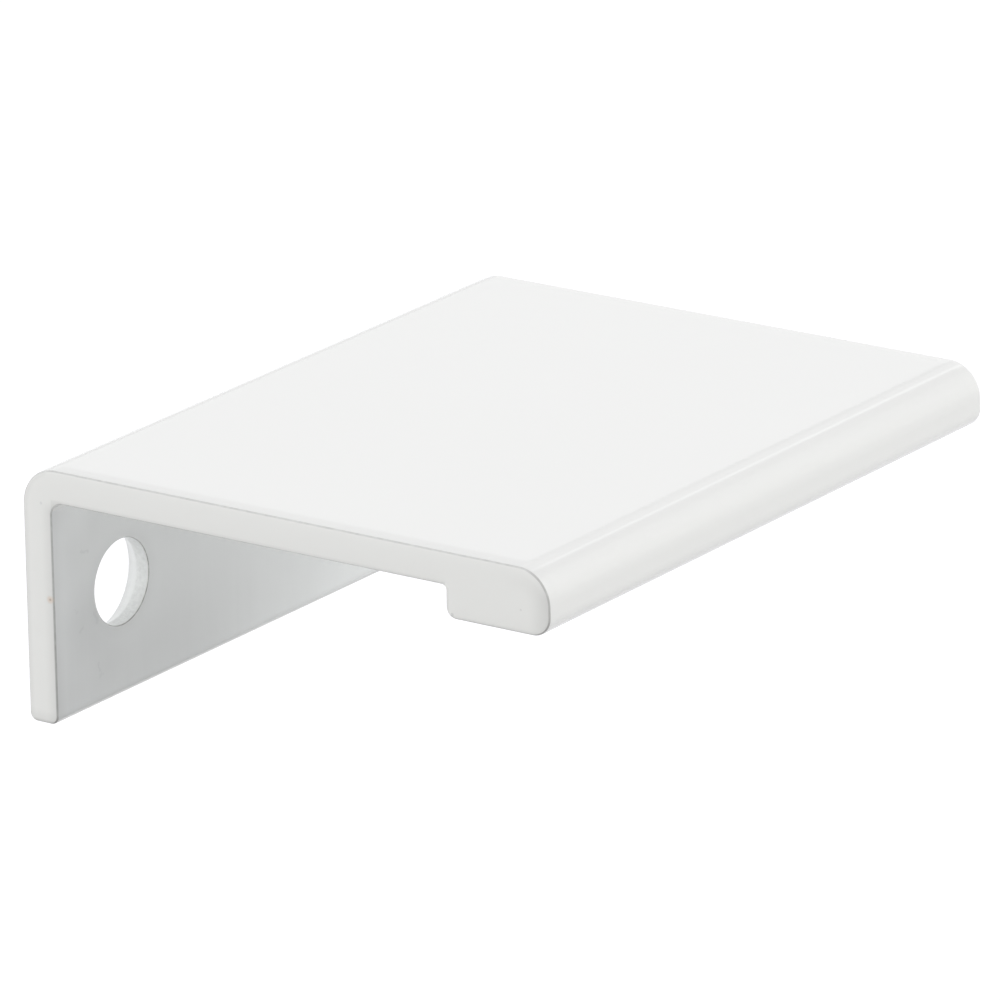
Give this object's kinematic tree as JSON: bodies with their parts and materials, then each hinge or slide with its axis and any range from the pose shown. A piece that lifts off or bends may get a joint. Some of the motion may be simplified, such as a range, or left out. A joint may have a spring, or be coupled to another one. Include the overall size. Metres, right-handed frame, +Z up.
{
  "type": "edge pull",
  "caption": "White-coated extruded edge pull: a flat plate with a rounded nose and grip lip, and a rear flange with countersunk screw holes that seats behind a drawer or door front.",
  "frame": {"origin": "midway between the two screw holes, on the face of the flange that seats on the front", "axes": "+X along the pull, -Y out of the seat face towards the nose, +Z up from the flange to the plate"},
  "size_m": [0.045, 0.0365, 0.0155],
  "materials": {
    "white_coat": "smooth gloss white coat, a little more satin on the sawn ends"
  },
  "bodies": {
    "root": {"edge_pull": "white_coat"}
  },
  "joints": []
}
